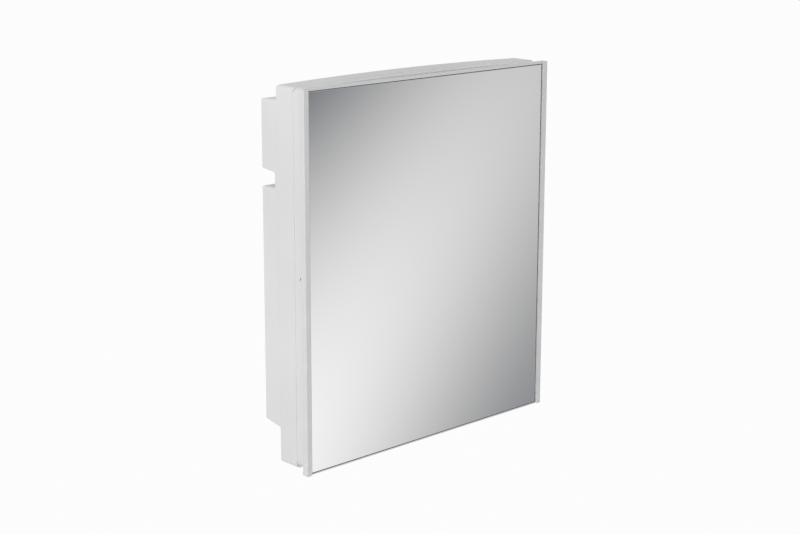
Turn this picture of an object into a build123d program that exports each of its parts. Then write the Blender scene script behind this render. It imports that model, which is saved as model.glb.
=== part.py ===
from build123d import *
import os
from math import radians, tan

# Wall-hung medicine cabinet: a moulded box with a mirror door hung on pivot pins at its right.
# Millimetres. X runs to the viewer's right, Y back into the wall, Z up.
# The origin is the middle of the four wall screws, on the wall plane.

# Mirror door
glass_width = 343.0
glass_height = 400.0
glass_thickness = 3.0
glass_side_gap = 1.5
glass_end_play = 0.8
seal_play = 0.1
seal_front_setback = 0.9
seal_depth = 1.6
tape_thickness = 0.7
tape_width = 18.0
tape_pitch = 115.0
tape_end_margin = 15.0
panel_thickness = 1.4
panel_top_lip = 2.5
panel_bottom_lip = 1.2
panel_head_gap = 0.6
panel_edge_play = 0.2
stile_width = 6.0
stile_wall = 1.0
stile_proud = 2.0
stile_front_lip = 1.2
stile_front_lip_thickness = 0.8
stile_flange_width = 8.0
stile_flange_thickness = 0.8
stile_edge_radius = 0.5
slot_play = 0.1
door_gap = 2.0
door_side_overhang = 2.5
door_foot_overhang = 3.5
door_head_overhang = 0.2

# Moulded box, sized to sit just inside the door's outline
body_crown = 3.0
body_wall = 2.5
body_corner_radius = 3.5
body_back_edge_radius = 1.6
box_depth = 27.5
rim_depth = 10.5
rim_inset = 0.6
rim_corner_radius = 8.0
rim_edge_radius = 0.8
rear_depth = 24.0
rear_bottom_step = 38.0
rear_bottom_draft = 10.5
rear_top_step = 15.0
rear_top_draft = 2.0
rear_corner_radius = 2.0
groove_height = 16.0
groove_head_draft = 6.4
groove_foot_draft = 1.0
groove_depth = 20.5
groove_middle_height = 303.3
groove_corner_radius = 1.8

# Wall fixing
wall_screw_side_inset = 36.5
wall_screw_spacing_z = 260.0
wall_screw_middle_height = 218.5
wall_screw_hole_radius = 3.0
wall_boss_radius = 8.0
wall_boss_height = 2.0

# Shelves
lower_shelf_height = 148.5
upper_shelf_height = 318.5
shelf_thickness = 2.5
shelf_side_play = 0.4
shelf_back_play = 1.0
shelf_depth = 46.0
shelf_lip_thickness = 2.0
shelf_lip_up = 9.0
shelf_lip_down = 4.0
shelf_edge_radius = 0.7
ledge_width = 5.0
ledge_thickness = 2.5
ledge_front_setback = 3.0

# Pivot hinge
cap_height = 22.0
cap_slot_offset = 14.5
cap_spigot_length = 10.0
cap_spigot_play = 0.1
cap_front_wall = 1.0
cap_inner_wall = 0.6
pin_radius = 1.25
pin_length = 20.0
pin_running_play = 0.05
plate_thickness = 1.5
plate_side_play = 0.15
plate_eye_radius = 2.2
plate_neck_width = 3.2
plate_length = 19.0
plate_width = 16.0
plate_front_setback = 1.0
plate_notch_depth = 5.0
plate_outer_inset = 0.5
washer_thickness = 0.5
washer_outer_radius = 2.1
boss_side_margin = 2.0
hinge_screw_pitch = 8.0

# Self-tapping screws
screw_radius = 1.25
screw_head_radius = 2.6
screw_head_height = 1.4
screw_length = 7.0
screw_clearance_radius = 1.6
screw_point_length = 1.5
drive_recess_width = 0.8
drive_recess_length = 3.0
drive_recess_depth = 0.7

# Magnetic catch
catch_width = 12.0
catch_height = 24.0
catch_depth = 14.0
catch_wall_gap = 0.3
catch_ear_height = 8.0
catch_ear_thickness = 2.0
catch_ear_setback = 2.0
magnet_width = 3.0
magnet_height = 18.0
magnet_depth = 10.0
pole_thickness = 1.0
pole_front_gap = 0.1
strike_thickness = 0.8
strike_width = 16.0
strike_height = 24.0
strike_outer_inset = 1.5
strike_screw_rise = 6.0
relief_depth = 1.5
relief_side_margin = 0.5
ear_boss_radius = 3.5
ear_boss_length = 16.0

# Plain end caps and door bumpers
end_cap_thickness = 2.0
end_cap_spigot_length = 8.0
gusset_leg = 34.0
gusset_thickness = 2.5
bumper_radius = 4.0
bumper_gap = 0.3
bumper_corner_distance = 13.2

# Planes worked out from the sizes above, front to back
rear_wall_front = -rear_depth
seam_plane = rear_wall_front - box_depth
rim_front = seam_plane - rim_depth
door_back = rim_front - door_gap
panel_back = door_back - stile_flange_thickness - slot_play
panel_front = panel_back - panel_thickness
glass_back = panel_front - tape_thickness
glass_front = glass_back - glass_thickness
stile_front = glass_front - stile_proud
stile_depth = door_back - stile_front

# Heights worked out from the sizes above
underside = -wall_screw_middle_height
door_bottom = underside - door_foot_overhang
glass_bottom = door_bottom + panel_bottom_lip + glass_end_play
glass_top = glass_bottom + glass_height
door_top = glass_top + glass_end_play + panel_top_lip
side_top = door_top - door_head_overhang
catch_centre = (underside + side_top) / 2

# Half widths
half_glass = glass_width / 2
stile_inner = half_glass + glass_side_gap
stile_outer = stile_inner + stile_width
half_panel = stile_inner - panel_edge_play
half_body = stile_outer - door_side_overhang
half_rim = half_body - rim_inset
half_inside = half_body - body_wall
half_rim_inside = half_rim - body_wall
pivot_x = (stile_inner + stile_outer) / 2
pivot_y = (stile_front + door_back) / 2
wall_screw_spacing_x = 2 * (half_body - wall_screw_side_inset)


def block(x, y, z):
    """A box between two corners, each axis given as (low, high)."""
    size = [high - low for low, high in (x, y, z)]
    middle = [(high + low) / 2 for low, high in (x, y, z)]
    return Pos(*middle) * Box(*size)


def rod(radius, x, y, z_low, z_high):
    """An upright cylinder."""
    return Pos(x, y, (z_low + z_high) / 2) * Cylinder(radius, z_high - z_low)


def rod_back(radius, x, z, y_low, y_high):
    """A cylinder along Y."""
    return Pos(x, (y_low + y_high) / 2, z) * Rot(90, 0, 0) * Cylinder(radius, y_high - y_low)


def raised(outline, z_low, z_high):
    """A plan outline stood up between two heights."""
    return extrude(Pos(0, 0, z_low) * outline, amount=z_high - z_low)


def save(shape, name):
    export_step(shape, f"parts/{name}.step")


def self_tapper(length):
    """A pan-head screw with its head's underside at the origin and its point down."""
    shank_end = -(length - screw_point_length)
    shank = Pos(0, 0, shank_end / 2) * Cylinder(screw_radius, -shank_end)
    point_middle = shank_end - screw_point_length / 2
    point = Pos(0, 0, point_middle) * Rot(180, 0, 0) * Cone(
        screw_radius, screw_radius / 4, screw_point_length
    )
    head = Pos(0, 0, screw_head_height / 2) * Cylinder(screw_head_radius, screw_head_height)
    crown = head.edges().filter_by(GeomType.CIRCLE).sort_by(Axis.Z)[-1]
    head = fillet(crown, screw_head_height * 0.6)
    bar = Box(drive_recess_length, drive_recess_width, drive_recess_depth * 2)
    cross = bar + Rot(0, 0, 90) * bar
    return shank + point + head - Pos(0, 0, screw_head_height) * cross


# The box: arched front outline, rounded corners
def front_outline(half_width, low, side_high, corner_radius, arch=body_crown):
    """The cabinet seen from the front: straight foot and sides under a shallow arch."""
    foot = Line((-half_width, low), (half_width, low))
    right = Line((half_width, low), (half_width, side_high))
    top = ThreePointArc((half_width, side_high), (0, side_high + arch), (-half_width, side_high))
    left = Line((-half_width, side_high), (-half_width, low))
    face = make_face([foot, right, top, left])
    return fillet(face.vertices(), corner_radius)


def standing(outline, y_back, y_front):
    """A front outline given its depth between two planes across Y."""
    return extrude(Plane.XZ.offset(-y_back) * outline, amount=y_back - y_front)


def rear_profile(front_plane):
    """Side profile of the shallower rear part, with the groove across its back."""
    reach = -front_plane
    low_front = underside + rear_bottom_step + (rear_depth - reach) * tan(radians(rear_bottom_draft))
    low_back = low_front + reach * tan(radians(rear_bottom_draft))
    high_front = side_top - rear_top_step - (rear_depth - reach) * tan(radians(rear_top_draft))
    high_back = high_front - reach * tan(radians(rear_top_draft))
    groove_middle = underside + groove_middle_height
    rise = groove_depth * tan(radians(groove_head_draft))
    drop = groove_depth * tan(radians(groove_foot_draft))
    groove = [
        (0, groove_middle - groove_height / 2 - drop),
        (-groove_depth, groove_middle - groove_height / 2),
        (-groove_depth, groove_middle + groove_height / 2),
        (0, groove_middle + groove_height / 2 + rise),
    ]
    ends = [(0, high_back), (front_plane, high_front)]
    profile = make_face(
        Polyline([(front_plane, low_front), (0, low_back), *groove, *ends], close=True)
    )
    near_groove = groove_height
    grooved = [v for v in profile.vertices() if abs(v.Y - groove_middle) < near_groove]
    profile = fillet(grooved, groove_corner_radius)
    outer = [
        v
        for v in profile.vertices()
        if v.X > -0.01 and abs(v.Y - groove_middle) > 2 * near_groove
    ]
    return fillet(outer, rear_corner_radius)


def across(profile, half_width):
    """A side profile given its width across X."""
    return extrude(Plane.YZ.offset(-half_width) * profile, amount=2 * half_width)


def make_box_shell():
    wide = standing(
        front_outline(half_body, underside, side_top, body_corner_radius),
        rear_wall_front,
        seam_plane,
    )
    back_edges = wide.edges().filter_by_position(
        Axis.Y, rear_wall_front - 0.01, rear_wall_front + 0.01
    )
    wide = fillet(back_edges, body_back_edge_radius)
    rim_outline = front_outline(
        half_rim, underside + rim_inset, side_top - rim_inset, rim_corner_radius
    )
    rim = standing(rim_outline, seam_plane, rim_front)
    rim_edges = rim.edges().filter_by_position(Axis.Y, rim_front - 0.01, rim_front + 0.01)
    rim = fillet(rim_edges, rim_edge_radius)
    rear = across(rear_profile(rear_wall_front - 1), half_body)
    end_edges = [
        e
        for e in rear.edges()
        if abs(abs(e.center().X) - half_body) < 0.01 and e.center().Y > rear_wall_front
    ]
    rear = fillet(end_edges, body_back_edge_radius)
    hollow = standing(
        front_outline(
            half_inside,
            underside + body_wall,
            side_top - body_wall,
            body_corner_radius,
        ),
        rear_wall_front - body_wall,
        seam_plane,
    )
    rim_hollow = standing(
        offset(rim_outline, amount=-body_wall), seam_plane + body_wall, rim_front
    )
    rear_hollow = across(
        offset(rear_profile(rear_wall_front - 4 * body_wall), amount=-body_wall), half_inside
    )
    return wide + rim + rear - hollow - rim_hollow - rear_hollow


def make_ledge(side, height):
    """A moulded ledge on one side wall that carries a shelf's end."""
    inner = side * (half_inside - ledge_width)
    wall = side * (half_inside + body_wall / 2)
    shelf_back = -body_wall - shelf_back_play
    front = shelf_back - shelf_depth + ledge_front_setback
    return block(
        sorted((inner, wall)),
        (front, -body_wall / 2),
        (underside + height - ledge_thickness, underside + height),
    )


def hinge_levels():
    """Middle heights of the lower and upper hinge plates."""
    return door_bottom + cap_slot_offset, door_top - cap_slot_offset


def hinge_screw_places():
    y = rim_front + plate_front_setback + plate_length * 0.6
    x = half_rim_inside - boss_side_margin - plate_width / 2
    return [(x - hinge_screw_pitch / 2, y), (x + hinge_screw_pitch / 2, y)]


def make_hinge_bosses():
    """Blocks in the right-hand corners that the hinge plates are screwed to."""
    low, high = hinge_levels()
    x = (half_rim_inside - plate_width - 2 * boss_side_margin, half_rim)
    y = (rim_front + 2 * plate_front_setback, rim_front + plate_front_setback + plate_length)
    lower = block(x, y, (underside + body_wall / 2, low - plate_thickness / 2))
    upper = block(x, y, (high + plate_thickness / 2, side_top + body_crown))
    return lower, upper


def make_gusset(up):
    """A corner web at the left of the opening that carries a door bumper."""
    inside_z = side_top - rim_inset - body_wall if up > 0 else underside + rim_inset + body_wall
    corner = (-half_rim_inside, inside_z)
    web = make_face(
        Polyline(
            [
                (corner[0] - body_wall / 2, corner[1] + up * body_wall / 2),
                (corner[0] + gusset_leg, corner[1] + up * body_wall / 2),
                (corner[0] - body_wall / 2, corner[1] - up * gusset_leg),
            ],
            close=True,
        )
    )
    return standing(web, rim_front + gusset_thickness, rim_front)


def make_cabinet_body():
    shell = make_box_shell()
    envelope = standing(
        front_outline(half_rim, underside + rim_inset, side_top - rim_inset, rim_corner_radius),
        seam_plane,
        rim_front,
    ) + standing(
        front_outline(half_body, underside, side_top, body_corner_radius),
        rear_wall_front,
        seam_plane,
    )
    added = list(make_hinge_bosses())
    added += [make_gusset(1), make_gusset(-1)]
    added += [
        make_ledge(side, height)
        for side in (-1, 1)
        for height in (lower_shelf_height, upper_shelf_height)
    ]
    ear_x = -half_rim_inside + catch_wall_gap + catch_width / 2
    for z in ear_screw_heights():
        y = (ear_back(), ear_back() + ear_boss_length)
        added.append(rod_back(ear_boss_radius, ear_x, z, *y))
        added.append(
            block((-half_body + body_wall / 2, ear_x), y, (z - body_wall / 2, z + body_wall / 2))
        )
    body = shell
    for piece in added:
        inside_wall = piece & envelope if piece.bounding_box().min.Y < rear_wall_front else piece
        body = body + inside_wall
    for x, z in wall_screw_places():
        body = body + rod_back(wall_boss_radius, x, z, -body_wall - wall_boss_height, -body_wall / 2)
    for x, z in wall_screw_places():
        body = body - rod_back(wall_screw_hole_radius, x, z, -2 * wall_boss_radius, 1)
    low, high = hinge_levels()
    for level, head_side in ((low, -1), (high, 1)):
        half_notch = plate_thickness / 2 + plate_side_play
        body = body - block(
            (half_rim_inside - 1, half_rim + 1),
            (rim_front - 1, rim_front + plate_notch_depth),
            (level - half_notch, level + half_notch),
        )
        for x, y in hinge_screw_places():
            start = level + head_side * plate_thickness / 2
            reach = screw_length - plate_thickness
            z = sorted((start - head_side * 1, start + head_side * reach))
            body = body - rod(screw_radius, x, y, *z)
    for z in ear_screw_heights():
        y = (ear_back() - 1, ear_back() + screw_length - catch_ear_thickness)
        body = body - rod_back(screw_radius, ear_x, z, *y)
    relief_half = strike_height / 2 + relief_side_margin
    body = body - block(
        (-half_body - 1, -half_rim_inside + 0.01),
        (rim_front - 1, rim_front + relief_depth),
        (catch_centre - relief_half, catch_centre + relief_half),
    )
    return body


def wall_screw_places():
    half_x, half_z = wall_screw_spacing_x / 2, wall_screw_spacing_z / 2
    return [(x, z) for x in (-half_x, half_x) for z in (-half_z, half_z)]


def ear_back():
    return rim_front + catch_ear_setback + catch_ear_thickness


def ear_screw_heights():
    rise = catch_height / 2 + catch_ear_height / 2
    return catch_centre - rise, catch_centre + rise


# Shelves
def make_shelf(height):
    """A moulded shelf with a raised front lip that keeps bottles in."""
    half = half_inside - shelf_side_play
    back = -body_wall - shelf_back_play
    front = back - shelf_depth
    base = underside + height
    outline = make_face(
        Polyline(
            [
                (back, base),
                (back, base + shelf_thickness),
                (front + shelf_lip_thickness, base + shelf_thickness),
                (front + shelf_lip_thickness, base + shelf_thickness + shelf_lip_up),
                (front, base + shelf_thickness + shelf_lip_up),
                (front, base - shelf_lip_down),
                (front + shelf_lip_thickness, base - shelf_lip_down),
                (front + shelf_lip_thickness, base),
            ],
            close=True,
        )
    )
    outline = fillet(outline.vertices(), shelf_edge_radius)
    return across(outline, half)


# Hinge plates, screws and pins
def make_hinge_plate(level):
    """A steel pivot arm: an eye in front, a neck through the rim, a foot on its boss."""
    half_neck = plate_neck_width / 2
    foot_front = rim_front + plate_front_setback
    foot_back = foot_front + plate_length
    foot_outer = half_rim_inside - boss_side_margin
    foot_inner = foot_outer - plate_width
    tab_outer = half_rim - plate_outer_inset
    outline = make_face(
        Polyline(
            [
                (pivot_x - half_neck, pivot_y),
                (pivot_x + half_neck, pivot_y),
                (pivot_x + half_neck, door_back - slot_play),
                (tab_outer, foot_front - plate_side_play),
                (tab_outer, rim_front + plate_notch_depth - plate_side_play),
                (foot_outer, rim_front + plate_notch_depth - plate_side_play),
                (foot_outer, foot_back),
                (foot_inner, foot_back),
                (foot_inner, foot_front),
                (foot_outer, foot_front),
                (pivot_x - half_neck, door_back + slot_play),
            ],
            close=True,
        )
    )
    outline = outline + Pos(pivot_x, pivot_y) * Circle(plate_eye_radius)
    outline = outline - Pos(pivot_x, pivot_y) * Circle(pin_radius + pin_running_play)
    for x, y in hinge_screw_places():
        outline = outline - Pos(x, y) * Circle(screw_clearance_radius)
    return raised(outline, level - plate_thickness / 2, level + plate_thickness / 2)


def make_hinge_plate_screws():
    low, high = hinge_levels()
    screws = []
    for x, y in hinge_screw_places():
        screws.append(Pos(x, y, low + plate_thickness / 2) * self_tapper(screw_length))
        turned = Rot(180, 0, 0) * self_tapper(screw_length)
        screws.append(Pos(x, y, high - plate_thickness / 2) * turned)
    return Compound(children=screws)


def washer_levels():
    """Each plate carries a washer on its upper side, where the door's weight comes down."""
    return [level + plate_thickness / 2 for level in hinge_levels()]


def make_hinge_washers():
    ring = Circle(washer_outer_radius) - Circle(pin_radius + pin_running_play)
    return Compound(
        children=[
            raised(Pos(pivot_x, pivot_y) * ring, z, z + washer_thickness) for z in washer_levels()
        ]
    )


def slot_span(level):
    """Low and high side of the slot in a hinge cap that takes the plate and its washer."""
    low = level - plate_thickness / 2 - plate_side_play
    high = level + plate_thickness / 2 + washer_thickness
    return low, high


# Door
def stile_outline(side, hollow):
    """Cross-section of the extruded side stile, in plan; side is 1 at the right, -1 at the left."""
    tube = make_face(
        Polyline(
            [
                (stile_inner, stile_front),
                (stile_outer, stile_front),
                (stile_outer, door_back),
                (stile_inner, door_back),
            ],
            close=True,
        )
    )
    corners = tube.vertices().filter_by_position(Axis.X, stile_outer - 1, stile_outer + 1)
    tube = fillet(corners, stile_edge_radius)
    flange = make_face(
        Polyline(
            [
                (stile_inner - stile_flange_width, door_back - stile_flange_thickness),
                (stile_inner + stile_wall / 2, door_back - stile_flange_thickness),
                (stile_inner + stile_wall / 2, door_back),
                (stile_inner - stile_flange_width, door_back),
            ],
            close=True,
        )
    )
    lip_back = panel_front - slot_play
    lip = make_face(
        Polyline(
            [
                (stile_inner - stile_front_lip, lip_back - stile_front_lip_thickness),
                (stile_inner + stile_wall / 2, lip_back - stile_front_lip_thickness),
                (stile_inner + stile_wall / 2, lip_back),
                (stile_inner - stile_front_lip, lip_back),
            ],
            close=True,
        )
    )
    outline = tube + flange + lip
    if hollow:
        outline = outline - make_face(
            Polyline(
                [
                    (stile_inner + stile_wall, stile_front + stile_wall),
                    (stile_outer - stile_wall, stile_front + stile_wall),
                    (stile_outer - stile_wall, door_back - stile_wall),
                    (stile_inner + stile_wall, door_back - stile_wall),
                ],
                close=True,
            )
        )
    return outline if side > 0 else mirror(outline, about=Plane.YZ)


def make_spigot(side, z_low, z_high):
    """The part of a cap that plugs into the hollow of a stile."""
    inset = stile_wall + cap_spigot_play
    x = sorted((side * (stile_inner + inset), side * (stile_outer - inset)))
    return block(x, (stile_front + inset, door_back - inset), (z_low, z_high))


def make_hinge_cap(up):
    """End cap of the hinge-side stile, with the pin's bore and the slot for the plate."""
    level = hinge_levels()[1] if up > 0 else hinge_levels()[0]
    end = door_top if up > 0 else door_bottom
    root = end - up * cap_height
    cap = raised(stile_outline(1, hollow=False), *sorted((root, end)))
    cap = cap + make_spigot(1, *sorted((root, root - up * cap_spigot_length)))
    slot_low, slot_high = slot_span(level)
    cap = cap - block(
        (stile_inner + cap_inner_wall, stile_outer + 1),
        (stile_front + cap_front_wall, door_back + 1),
        (slot_low, slot_high),
    )
    bore = sorted((root - up * (cap_spigot_length + 1), level + up * pin_length / 2))
    return cap - rod(pin_radius, pivot_x, pivot_y, *bore)


def make_end_cap(up):
    """Plain end cap of the catch-side stile."""
    end = door_top if up > 0 else door_bottom
    root = end - up * end_cap_thickness
    plate = block((-stile_outer, -stile_inner), (stile_front, door_back), sorted((root, end)))
    outer_edges = [
        e for e in plate.edges().filter_by(Axis.Z) if e.center().X < -stile_outer + 0.01
    ]
    plate = fillet(outer_edges, stile_edge_radius)
    return plate + make_spigot(-1, *sorted((root, root - up * end_cap_spigot_length)))


def strike_x():
    outer = -stile_outer + strike_outer_inset
    return outer, outer + strike_width


def strike_screw_place():
    return -(stile_inner + stile_outer) / 2, catch_centre + strike_screw_rise


def make_stile(side):
    if side > 0:
        z = (door_bottom + cap_height, door_top - cap_height)
    else:
        z = (door_bottom + end_cap_thickness, door_top - end_cap_thickness)
    stile = raised(stile_outline(side, hollow=True), *z)
    if side < 0:
        x, z = strike_screw_place()
        stile = stile - rod_back(screw_radius, x, z, door_back - 2 * stile_wall, door_back + 1)
    return stile


def make_door_panel():
    """Backing sheet whose head and foot lips keep the glass in place; the head covers the gap."""
    x = (-half_panel, half_panel)
    lip_x = (-half_glass, half_glass)
    sheet = block(x, (panel_front, panel_back), (door_bottom, door_top))
    foot = block(lip_x, (glass_front, panel_back), (door_bottom, door_bottom + panel_bottom_lip))
    head = block(lip_x, (glass_front, panel_back), (door_top - panel_top_lip, door_top))
    half_return = stile_inner - stile_flange_width - panel_edge_play
    head = head + block(
        (-half_return, half_return),
        (panel_back, rim_front - panel_head_gap),
        (door_top - panel_top_lip, door_top),
    )
    return sheet + foot + head


def make_mirror_glass():
    glass = block(
        (-half_glass, half_glass), (glass_front, glass_back), (glass_bottom, glass_top)
    )
    front_edges = glass.edges().filter_by_position(Axis.Y, glass_front - 0.01, glass_front + 0.01)
    return chamfer(front_edges, 0.4)


def make_mirror_seal():
    """A thin dark seal round the glass in four straight lengths, set back from its face."""
    y = (glass_front + seal_front_setback, glass_front + seal_front_setback + seal_depth)
    foot_z = (glass_bottom - glass_end_play + seal_play, glass_bottom - seal_play)
    head_z = (glass_top + seal_play, glass_top + glass_end_play - seal_play)
    level_runs = [block((-half_glass, half_glass), y, z) for z in (foot_z, head_z)]
    upright_runs = [
        block(
            sorted((side * (half_glass + seal_play), side * (stile_inner - seal_play))),
            y,
            (foot_z[0], head_z[1]),
        )
        for side in (-1, 1)
    ]
    return Compound(children=level_runs + upright_runs)


def make_mirror_tape():
    z = (glass_bottom + tape_end_margin, glass_top - tape_end_margin)
    return Compound(
        children=[
            block((x - tape_width / 2, x + tape_width / 2), (glass_back, panel_front), z)
            for x in (-tape_pitch, 0, tape_pitch)
        ]
    )


# Catch
def make_strike_plate():
    x_low, x_high = strike_x()
    plate = block(
        (x_low, x_high),
        (door_back, door_back + strike_thickness),
        (catch_centre - strike_height / 2, catch_centre + strike_height / 2),
    )
    plate = fillet(plate.edges().filter_by(Axis.Y), 1.5)
    x, z = strike_screw_place()
    return plate - rod_back(screw_clearance_radius, x, z, door_back - 1, door_back + 2)


def make_strike_screw():
    x, z = strike_screw_place()
    return Pos(x, door_back + strike_thickness, z) * Rot(-90, 0, 0) * self_tapper(screw_length)


def catch_x():
    low = -half_rim_inside + catch_wall_gap
    return low, low + catch_width


def pole_pocket():
    """Space in the housing for the magnet and the two pole plates beside it."""
    middle = sum(catch_x()) / 2
    half = magnet_width / 2 + pole_thickness
    return (middle - half, middle + half)


def make_catch_housing():
    x = catch_x()
    front = rim_front
    box = block(
        x, (front, front + catch_depth), (catch_centre - catch_height / 2, catch_centre + catch_height / 2)
    )
    box = fillet(box.edges().filter_by(Axis.Y), 1.0)
    ears = block(
        x,
        (front + catch_ear_setback, ear_back()),
        (
            catch_centre - catch_height / 2 - catch_ear_height,
            catch_centre + catch_height / 2 + catch_ear_height,
        ),
    )
    ears = fillet(ears.edges().filter_by(Axis.Y), 2.0)
    housing = box + ears
    housing = housing - block(
        pole_pocket(),
        (front - 1, front + magnet_depth),
        (catch_centre - magnet_height / 2, catch_centre + magnet_height / 2),
    )
    middle = sum(x) / 2
    for z in ear_screw_heights():
        housing = housing - rod_back(screw_clearance_radius, middle, z, front, ear_back() + 1)
    return housing


def make_catch_magnet():
    middle = sum(catch_x()) / 2
    return block(
        (middle - magnet_width / 2, middle + magnet_width / 2),
        (rim_front, rim_front + magnet_depth),
        (catch_centre - magnet_height / 2, catch_centre + magnet_height / 2),
    )


def make_pole_plates():
    low, high = pole_pocket()
    tip = door_back + strike_thickness + pole_front_gap
    z = (catch_centre - magnet_height / 2, catch_centre + magnet_height / 2)
    return Compound(
        children=[
            block(x, (tip, rim_front + magnet_depth), z)
            for x in ((low, low + pole_thickness), (high - pole_thickness, high))
        ]
    )


def make_catch_screws():
    middle = sum(catch_x()) / 2
    front = rim_front + catch_ear_setback
    return Compound(
        children=[
            Pos(middle, front, z) * Rot(90, 0, 0) * self_tapper(screw_length)
            for z in ear_screw_heights()
        ]
    )


def make_door_bumpers():
    """Soft buttons on the left corner webs that stop the closing door."""
    x = -half_rim_inside + bumper_corner_distance
    low = underside + rim_inset + body_wall + bumper_corner_distance
    high = side_top - rim_inset - body_wall - bumper_corner_distance
    buttons = []
    for z in (low, high):
        button = rod_back(bumper_radius, x, z, panel_back + bumper_gap, rim_front)
        dome = button.edges().filter_by(GeomType.CIRCLE).sort_by(Axis.Y)[0]
        buttons.append(fillet(dome, 0.8))
    return Compound(children=buttons)


def make_pin(level):
    pin = rod(pin_radius, pivot_x, pivot_y, level - pin_length / 2, level + pin_length / 2)
    return chamfer(pin.edges().filter_by(GeomType.CIRCLE), 0.3)


os.makedirs("parts", exist_ok=True)
low_level, high_level = hinge_levels()
save(make_cabinet_body(), "cabinet_body")
save(make_shelf(lower_shelf_height), "lower_shelf")
save(make_shelf(upper_shelf_height), "upper_shelf")
save(make_hinge_plate(low_level), "lower_hinge_plate")
save(make_hinge_plate(high_level), "upper_hinge_plate")
save(make_hinge_plate_screws(), "hinge_plate_screws")
save(make_hinge_washers(), "hinge_washers")
save(make_hinge_cap(-1), "lower_hinge_cap")
save(make_hinge_cap(1), "upper_hinge_cap")
save(make_pin(low_level), "lower_hinge_pin")
save(make_pin(high_level), "upper_hinge_pin")
save(make_stile(1), "hinge_side_stile")
save(make_stile(-1), "catch_side_stile")
save(make_end_cap(-1), "lower_end_cap")
save(make_end_cap(1), "upper_end_cap")
save(make_door_panel(), "door_panel")
save(make_mirror_glass(), "mirror_glass")
save(make_mirror_seal(), "mirror_seal")
save(make_mirror_tape(), "mirror_tape")
save(make_strike_plate(), "strike_plate")
save(make_strike_screw(), "strike_screw")
save(make_catch_housing(), "catch_housing")
save(make_catch_magnet(), "catch_magnet")
save(make_pole_plates(), "catch_pole_plates")
save(make_catch_screws(), "catch_screws")
save(make_door_bumpers(), "door_bumpers")
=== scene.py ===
import math

import bmesh
import bpy
from mathutils import Matrix, Vector

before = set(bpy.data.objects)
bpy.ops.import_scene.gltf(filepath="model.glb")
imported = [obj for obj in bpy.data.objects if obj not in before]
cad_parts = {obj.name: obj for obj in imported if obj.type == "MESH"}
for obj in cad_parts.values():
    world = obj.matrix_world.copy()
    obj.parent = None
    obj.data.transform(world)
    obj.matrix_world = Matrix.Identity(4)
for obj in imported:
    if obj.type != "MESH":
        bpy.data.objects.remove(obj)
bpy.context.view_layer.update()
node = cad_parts


# Cabinet moulding: the one-piece box with its rim, ledges, bosses and rear groove.
# White polystyrene from an injection mould, fine-etched, so its gloss breaks up a little.
class Value:
    """A shader socket that takes part in plain arithmetic."""

    def __init__(self, nodes, socket):
        self.nodes = nodes
        self.socket = socket

    def maths(self, operation, *others):
        return self.nodes.add("ShaderNodeMath", {"operation": operation}, [self, *others])

    def __add__(self, other):
        return self.maths("ADD", other)

    def __sub__(self, other):
        return self.maths("SUBTRACT", other)

    def __rsub__(self, other):
        return self.nodes.add("ShaderNodeMath", {"operation": "SUBTRACT"}, [other, self])

    def __mul__(self, other):
        return self.maths("MULTIPLY", other)

    __radd__ = __add__
    __rmul__ = __mul__

    def cosine(self):
        return self.maths("COSINE")

    def size(self):
        return self.maths("ABSOLUTE")

    def larger(self, other):
        return self.maths("MAXIMUM", other)

    def between(self, start, end):
        """0 below start, 1 above end, smooth in the middle."""
        return self.nodes.add(
            "ShaderNodeMapRange",
            {"interpolation_type": "SMOOTHSTEP"},
            {"Value": self, "From Min": start, "From Max": end},
        )


class Nodes:
    """A node tree under construction; every node in it comes from add()."""

    def __init__(self, tree):
        self.tree = tree
        tree.nodes.clear()

    def add(self, kind, settings=None, sockets=None, output=0):
        made = self.tree.nodes.new(kind)
        for key, setting in (settings or {}).items():
            setattr(made, key, setting)
        given = sockets or {}
        pairs = given.items() if isinstance(given, dict) else enumerate(given)
        for key, value in pairs:
            if isinstance(value, Value):
                self.tree.links.new(value.socket, made.inputs[key])
            elif value is not None:
                made.inputs[key].default_value = value
        return Value(self, made.outputs[output]) if made.outputs else None


class Finish(Nodes):
    """The node tree of one material, with the steps that the finishes share."""

    def __init__(self, name):
        self.material = bpy.data.materials.new(name)
        self.material.use_nodes = True
        super().__init__(self.material.node_tree)

    def place(self):
        """Where the shaded point is on the object at rest, in metres."""
        return self.add("ShaderNodeTexCoord", output="Object")

    def axes(self, vector):
        return [
            self.add("ShaderNodeSeparateXYZ", {}, {"Vector": vector}, output=axis)
            for axis in ("X", "Y", "Z")
        ]

    def noise(self, where, scale, detail=3.0, roughness=0.5):
        return self.add(
            "ShaderNodeTexNoise",
            {},
            {"Vector": where, "Scale": scale, "Detail": detail, "Roughness": roughness},
            output="Fac",
        )

    def stretched(self, where, factors):
        return self.add(
            "ShaderNodeVectorMath", {"operation": "MULTIPLY"}, {0: where, 1: factors}
        )

    def blend(self, factor, first, second):
        return self.add(
            "ShaderNodeMix",
            {"data_type": "RGBA"},
            {
                "Factor": factor,
                6: (*first, 1) if isinstance(first, tuple) else first,
                7: (*second, 1) if isinstance(second, tuple) else second,
            },
            output=2,
        )

    def bump(self, height, strength, distance, under=None):
        return self.add(
            "ShaderNodeBump",
            {},
            {"Height": height, "Strength": strength, "Distance": distance, "Normal": under},
        )

    def surface(self, **sockets):
        named = {key.replace("_", " "): value for key, value in sockets.items()}
        for key in ("Base Color", "Emission Color"):
            if isinstance(named.get(key), tuple):
                named[key] = (*named[key], 1)
        return self.add("ShaderNodeBsdfPrincipled", {}, named)

    def done(self, shader):
        self.add("ShaderNodeOutputMaterial", {}, {"Surface": shader})
        return self.material


def dress(name, material):
    """Gives a CAD piece its finish."""
    slots = node[name].data.materials
    slots.clear()
    slots.append(material)


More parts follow.
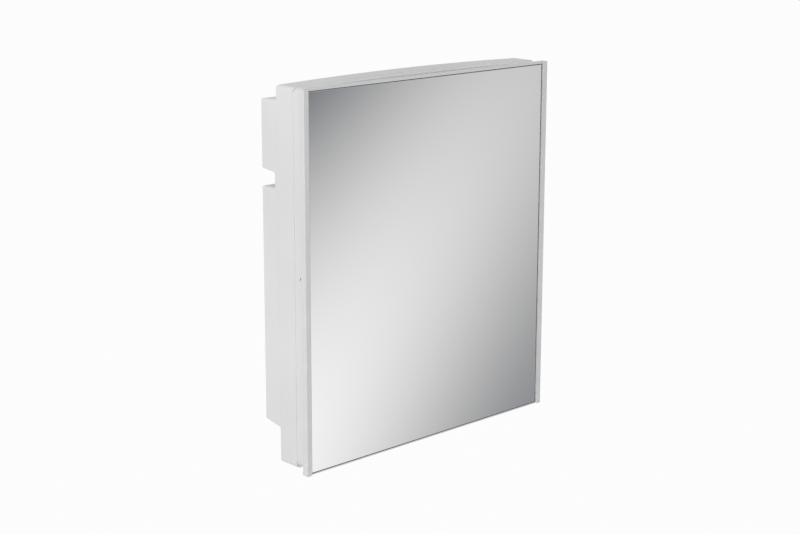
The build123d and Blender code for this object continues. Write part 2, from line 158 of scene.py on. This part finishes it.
def moulded_white(name, tint, gloss, grain=2600.0):
    """Etched white plastic: drifts a shade over the part, with a fine sparkle-free grain."""
    finish = Finish(name)
    where = finish.place()
    drift = finish.noise(where, 6.0, 2.0)
    cloud = finish.noise(where, 38.0, 4.0)
    etch = finish.noise(where, grain, 2.0)
    paler = tuple(min(1.0, c * 1.02) for c in tint)
    deeper = tuple(c * 0.97 for c in tint)
    colour = finish.blend(drift.between(0.35, 0.65), deeper, paler)
    rough = cloud * 0.10 + (gloss - 0.05)
    return finish.done(
        finish.surface(
            Base_Color=colour,
            Roughness=rough,
            Specular_IOR_Level=0.45,
            Normal=finish.bump(etch, 0.02, 0.0002),
        )
    )


dress("cabinet_body", moulded_white("box moulding white", (0.83, 0.83, 0.835), 0.42))


# Shelves: two loose mouldings with a raised front lip, in the same white but a little glossier.
# They drop on ledges in the side walls.
shelf_white = moulded_white("shelf moulding white", (0.82, 0.82, 0.825), 0.36, 1900.0)
dress("lower_shelf", shelf_white)
dress("upper_shelf", shelf_white)


# Side stiles and their end pieces: extruded white plastic that grips the panel's edges.
# The die leaves faint lines along the length.
def extruded_white(name, tint):
    finish = Finish(name)
    where = finish.place()
    lines = finish.noise(finish.stretched(where, (2400.0, 2400.0, 4.0)), 1.0, 2.0)
    cloud = finish.noise(where, 45.0, 3.0)
    colour = finish.blend(
        cloud.between(0.3, 0.7), tuple(c * 0.975 for c in tint), tuple(c * 1.01 for c in tint)
    )
    return finish.done(
        finish.surface(
            Base_Color=colour,
            Roughness=cloud * 0.08 + 0.3,
            Specular_IOR_Level=0.5,
            Normal=finish.bump(lines, 0.025, 0.0002),
        )
    )


stile_white = extruded_white("stile white", (0.80, 0.80, 0.81))
for name in ("hinge_side_stile", "catch_side_stile"):
    dress(name, stile_white)
cap_white = moulded_white("stile end white", (0.80, 0.80, 0.81), 0.36, 2200.0)
for name in ("upper_hinge_cap", "lower_hinge_cap", "upper_end_cap", "lower_end_cap"):
    dress(name, cap_white)


# Door panel: a pressed sheet in white enamel whose lips show as thin lines above and below
# the mirror.
def enamelled_sheet():
    finish = Finish("panel enamel")
    where = finish.place()
    peel = finish.noise(where, 420.0, 2.0)
    cloud = finish.noise(where, 9.0, 3.0)
    colour = finish.blend(cloud.between(0.3, 0.7), (0.80, 0.80, 0.805), (0.83, 0.83, 0.835))
    return finish.done(
        finish.surface(
            Base_Color=colour,
            Roughness=cloud * 0.08 + 0.26,
            Specular_IOR_Level=0.5,
            Normal=finish.bump(peel, 0.04, 0.0003),
        )
    )


dress("door_panel", enamelled_sheet())


# Mirror: 3 mm float glass with ground edges, silvered behind. The front shows the silver;
# the ground edge shows the glass's own green.
def silvered_glass():
    finish = Finish("mirror silver")
    where = finish.place()
    facing = finish.axes(finish.add("ShaderNodeNewGeometry", output="Normal"))[1]
    front = (0.0 - facing).between(0.90, 0.97)
    wave = finish.noise(where, 3.0, 1.0)
    grit = finish.noise(where, 1400.0, 2.0)
    back = facing.between(0.90, 0.97)
    edge = finish.blend(grit, (0.52, 0.57, 0.56), (0.62, 0.67, 0.66))
    rear_paint = finish.blend(grit, (0.20, 0.21, 0.22), (0.25, 0.26, 0.27))
    colour = finish.blend(front, finish.blend(back, edge, rear_paint), (0.972, 0.972, 0.972))
    return finish.done(
        finish.surface(
            Base_Color=colour,
            Metallic=front,
            Roughness=(1.0 - front) * 0.45 + wave * 0.01,
            Normal=finish.bump(wave, 0.01, 0.0002),
        )
    )


dress("mirror_glass", silvered_glass())


# Edge seal: a dark soft bead laid round the glass, just below its face. Its near-black colour is
# painted shade:
# it stands in for the shadow in the gaps between mirror and frame, and shows as the thin dark
# line there.
def shade_standin_bead():
    finish = Finish("edge seal painted shade black")
    where = finish.place()
    skin = finish.noise(where, 500.0, 3.0)
    # painted shade: near-black so the gap beside the glass reads as shadow, darker than bounced
    # light leaves it
    colour = finish.blend(skin, (0.018, 0.018, 0.020), (0.050, 0.050, 0.054))
    return finish.done(
        finish.surface(
            Base_Color=colour, Roughness=skin * 0.2 + 0.45, Normal=finish.bump(skin, 0.15, 0.0002)
        )
    )


dress("mirror_seal", shade_standin_bead())


# Mirror tape: three white foam strips between the glass and the panel, sticky on both faces.
# Their cut edges show the foam's open cells.
def foam():
    finish = Finish("tape foam")
    where = finish.place()
    cells = finish.add(
        "ShaderNodeTexVoronoi", {}, {"Vector": where, "Scale": 1800.0}, output="Distance"
    )
    colour = finish.blend(cells.between(0.1, 0.6), (0.62, 0.62, 0.60), (0.80, 0.80, 0.78))
    return finish.done(
        finish.surface(Base_Color=colour, Roughness=0.9, Normal=finish.bump(cells, 0.3, 0.0003))
    )


dress("mirror_tape", foam())


# Steel pieces: pressed hinge arms, pins, screws, pole plates and strike, all zinc plated.
# The plating is bright with soft spangled clouds and fine rolling lines.
def zinc_plate(name, rolling, tone):
    finish = Finish(name)
    where = finish.place()
    lines = finish.noise(finish.stretched(where, rolling), 1.0, 3.0)
    cloud = finish.noise(where, 160.0, 4.0)
    dull = tuple(c * 0.82 for c in tone)
    colour = finish.blend(cloud.between(0.3, 0.7), dull, tone)
    return finish.done(
        finish.surface(
            Base_Color=colour,
            Metallic=1.0,
            Roughness=lines * 0.16 + cloud * 0.12 + 0.18,
            Normal=finish.bump(lines, 0.10, 0.0001),
        )
    )


pressed_zinc = zinc_plate("pressed zinc steel", (300.0, 3000.0, 3000.0), (0.68, 0.69, 0.71))
turned_zinc = zinc_plate("turned zinc steel", (700.0, 700.0, 5000.0), (0.66, 0.66, 0.68))
for name in ("upper_hinge_plate", "lower_hinge_plate", "strike_plate", "catch_pole_plates"):
    dress(name, pressed_zinc)
for name in (
    "hinge_plate_screws",
    "catch_screws",
    "strike_screw",
    "upper_hinge_pin",
    "lower_hinge_pin",
):
    dress(name, turned_zinc)


# Catch magnet: a block of sintered ferrite pressed between two steel pole plates.
# It is near black with a dusty grain.
def ferrite():
    finish = Finish("catch ferrite")
    where = finish.place()
    dust = finish.noise(where, 900.0, 4.0)
    colour = finish.blend(dust, (0.035, 0.035, 0.038), (0.085, 0.083, 0.082))
    return finish.done(
        finish.surface(
            Base_Color=colour, Roughness=dust * 0.2 + 0.55, Normal=finish.bump(dust, 0.2, 0.0002)
        )
    )


dress("catch_magnet", ferrite())


# Catch housing, hinge washers and door bumpers: small mouldings of white plastic, nylon and
# soft rubber. The housing is screwed to the box and the bumpers are stuck to it.
dress("catch_housing", moulded_white("catch white", (0.80, 0.80, 0.80), 0.40, 3000.0))
dress("hinge_washers", moulded_white("washer nylon", (0.85, 0.84, 0.80), 0.45, 3000.0))


def soft_button():
    finish = Finish("bumper rubber")
    where = finish.place()
    dust = finish.noise(where, 700.0, 3.0)
    colour = finish.blend(dust, (0.55, 0.56, 0.57), (0.66, 0.67, 0.68))
    return finish.done(
        finish.surface(
            Base_Color=colour,
            Roughness=dust * 0.15 + 0.5,
            Subsurface_Weight=0.2,
            Subsurface_Radius=(0.002, 0.002, 0.002),
            Normal=finish.bump(dust, 0.05, 0.0002),
        )
    )


dress("door_bumpers", soft_button())


# Floor: a plain pale studio floor well below the hung cabinet. To the camera it is nearly
# white; to everything else it is a matt surface that takes the cabinet's shadow.
FLOOR_HEIGHT = -1.2


def flat_sheet(name, corners):
    mesh = bpy.data.meshes.new(name)
    mesh.from_pydata(corners, [], [tuple(range(len(corners)))])
    sheet = bpy.data.objects.new(name, mesh)
    bpy.context.scene.collection.objects.link(sheet)
    return sheet


reach = 30.0
floor = flat_sheet(
    "studio_floor",
    [
        (-reach, -reach, FLOOR_HEIGHT),
        (reach, -reach, FLOOR_HEIGHT),
        (reach, reach, FLOOR_HEIGHT),
        (-reach, reach, FLOOR_HEIGHT),
    ],
)
pale = Finish("studio floor paint")
seen = pale.add("ShaderNodeLightPath", output="Is Camera Ray")
matt = pale.surface(Base_Color=(0.80, 0.80, 0.80), Roughness=0.9, Specular_IOR_Level=0.1)
lit = pale.add("ShaderNodeEmission", {}, {"Color": (1, 1, 1, 1), "Strength": 1.0})
floor.data.materials.append(
    pale.done(pale.add("ShaderNodeMixShader", {}, {0: seen * 0.95, 1: matt, 2: lit}))
)


# Studio surround: a round screen that only mirrors and shiny metal see. Its light runs in
# slanting bands, broad and soft, which the mirror shows as its sweep from dark to bright.
SCREEN_RADIUS = 2.2
SCREEN_TOP = 2.4
screen_mesh = bmesh.new()
rings = []
for height in (FLOOR_HEIGHT, SCREEN_TOP):
    ring = []
    for step in range(96):
        turn = 2 * math.pi * step / 96
        ring.append(
            screen_mesh.verts.new(
                (SCREEN_RADIUS * math.sin(turn), -SCREEN_RADIUS * math.cos(turn), height)
            )
        )
    rings.append(ring)
for step in range(96):
    after = (step + 1) % 96
    screen_mesh.faces.new((rings[0][step], rings[0][after], rings[1][after], rings[1][step]))
screen_data = bpy.data.meshes.new("studio_screen")
screen_mesh.to_mesh(screen_data)
screen = bpy.data.objects.new("studio_screen", screen_data)
bpy.context.scene.collection.objects.link(screen)
screen.visible_camera = False
screen.visible_diffuse = False
screen.visible_shadow = False
screen.visible_transmission = False
screen_paint = Finish("studio screen bands")
east, north, up = screen_paint.axes(screen_paint.place())
turn = screen_paint.add("ShaderNodeMath", {"operation": "ARCTAN2"}, [east, 0.0 - north])
along = (turn - math.radians(44.0)) * SCREEN_RADIUS
rise = up + 0.6
slant = 2.661
across = along * math.cos(slant) + rise * math.sin(slant) - 0.142
length = rise * math.cos(slant) - along * math.sin(slant)
wave = (across * (2 * math.pi / 1.083)).cosine()
near = 1.0 - along.size().between(0.6, 1.4)
tone = (
    0.512
    + wave * 0.241
    + (length * 0.305 + length * across * 0.746) * near
)
cool = screen_paint.blend(
    tone.between(0.18, 0.50), (0.95, 0.99, 1.05), (1.0, 1.0, 1.0)
)
screen_light = screen_paint.add("ShaderNodeEmission", {}, {"Color": cool, "Strength": tone})
screen.data.materials.append(screen_paint.done(screen_light))


# Studio light: a big soft panel at the left front, a wide one overhead, and an even world.
def soft_light(name, place, aim, size, power):
    data = bpy.data.lights.new(name, "AREA")
    data.shape = "RECTANGLE"
    data.size, data.size_y = size
    data.energy = power
    lamp = bpy.data.objects.new(name, data)
    lamp.location = place
    lamp.rotation_euler = (Vector(aim) - Vector(place)).to_track_quat("-Z", "Y").to_euler()
    lamp.visible_glossy = False
    bpy.context.scene.collection.objects.link(lamp)


soft_light("left_panel", (-3.0, -0.8, 0.4), (0, 0, 0), (2.0, 2.4), 26.0)
soft_light("top_panel", (-1.2, -0.9, 1.6), (0, 0, 0), (1.2, 1.2), 4.0)

world = bpy.data.worlds.new("studio_world")
bpy.context.scene.world = world
world.use_nodes = True
sky = Nodes(world.node_tree)
seen_by_camera, seen_through_glass, seen_in_gloss = (
    sky.add("ShaderNodeLightPath", output=ray)
    for ray in ("Is Camera Ray", "Is Transmission Ray", "Is Glossy Ray")
)
shown = seen_by_camera.larger(seen_through_glass).larger(seen_in_gloss)
plain = sky.add("ShaderNodeBackground", {}, {"Color": (1, 1, 1, 1), "Strength": 0.62})
white = sky.add("ShaderNodeBackground", {}, {"Color": (0.98, 0.98, 0.98, 1), "Strength": 1.0})
sky_shader = sky.add("ShaderNodeMixShader", {}, {0: shown, 1: plain, 2: white})
sky.add("ShaderNodeOutputWorld", {}, {"Surface": sky_shader})


# Camera: front left of the cabinet and a little above, with a long lens.
camera_data = bpy.data.cameras.new("camera")
camera = bpy.data.objects.new("camera", camera_data)
bpy.context.scene.collection.objects.link(camera)
bpy.context.scene.camera = camera
yaw, pitch, roll = (math.radians(a) for a in (42.994, 12.559, 0.137))
forward = Vector(
    (math.sin(yaw) * math.cos(pitch), math.cos(yaw) * math.cos(pitch), -math.sin(pitch))
)
right = Vector((math.cos(yaw), -math.sin(yaw), 0))
above = right.cross(forward)
leaned_right = right * math.cos(roll) + above * math.sin(roll)
leaned_up = above * math.cos(roll) - right * math.sin(roll)
facing = Matrix((leaned_right, leaned_up, -forward)).transposed()
camera.matrix_world = Matrix.Translation((-1.1998, -1.3066, 0.4011)) @ facing.to_4x4()
camera_data.lens = 73.4
camera_data.sensor_width = 36.0
camera_data.shift_y = -0.05
camera_data.clip_start = 0.05
camera_data.clip_end = 100.0

bpy.context.scene.view_settings.view_transform = "Standard"
